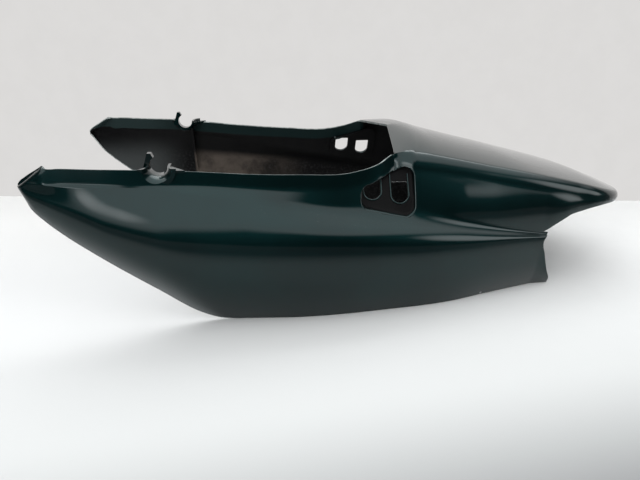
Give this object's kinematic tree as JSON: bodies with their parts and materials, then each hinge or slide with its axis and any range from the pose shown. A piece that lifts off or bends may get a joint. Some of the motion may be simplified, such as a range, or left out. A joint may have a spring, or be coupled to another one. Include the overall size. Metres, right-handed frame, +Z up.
{
  "type": "motorcycle tail fairing",
  "caption": "Hollow one-piece motorcycle tail fairing with side wings round a seat opening, a tapering tail deck, strap pockets with slots and half-round tube saddles.",
  "frame": {"origin": "middle of the fairing's box at the height of the lower edge it stands on", "axes": "+X from the nose of the wings to the tail, +Y across from the near side of the picture to the far side, +Z up; the fairing is a mirror image of itself across the XZ plane"},
  "size_m": [0.79, 0.3976, 0.208],
  "materials": {
    "painted_plastic": "glossy metallic paint outside, bare dark plastic inside"
  },
  "bodies": {
    "root": {"tail_fairing": "painted_plastic"}
  },
  "joints": []
}
